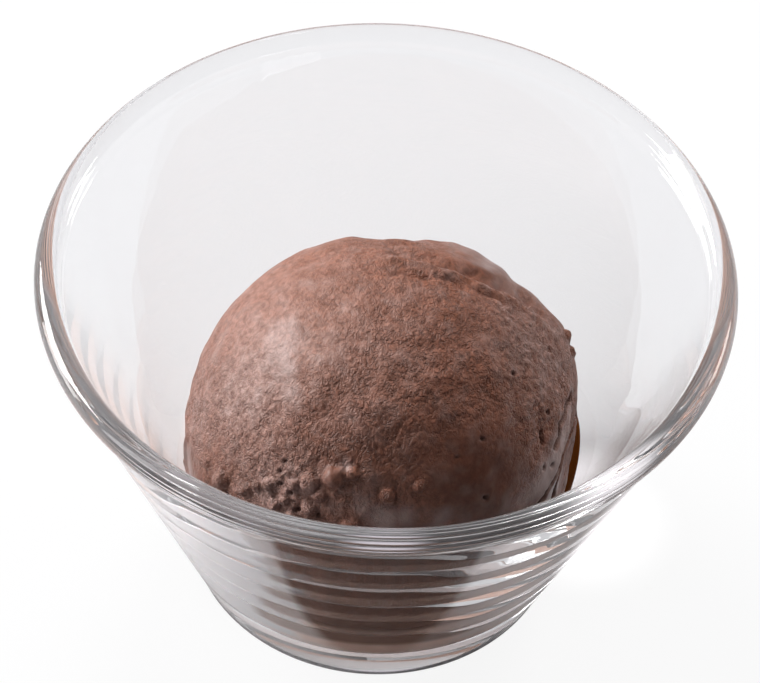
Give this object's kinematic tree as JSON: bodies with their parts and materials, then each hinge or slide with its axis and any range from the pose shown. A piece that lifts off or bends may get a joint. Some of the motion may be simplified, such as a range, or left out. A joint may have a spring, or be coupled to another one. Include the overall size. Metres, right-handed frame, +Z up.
{
  "type": "gelato cup",
  "caption": "Scoop of chocolate gelato with melt round its foot, in a clear thick-walled glass cup with a wide round mouth.",
  "frame": {"origin": "middle of the cup's foot, on the surface it stands on", "axes": "+Z up through the cup's mouth; the scoop leans on the glass towards -Y, the front"},
  "size_m": [0.09, 0.09, 0.055],
  "materials": {
    "clear_glass": "clear pressed glass, smooth, with a fire-polished lip",
    "chocolate_gelato": "soft chocolate gelato, fine pores, satin where it has begun to melt",
    "melted_gelato": "wet melted chocolate gelato, glossy"
  },
  "bodies": {
    "root": {"glass_cup": "clear_glass", "gelato_scoop": "chocolate_gelato", "melted_gelato": "melted_gelato"}
  },
  "joints": []
}
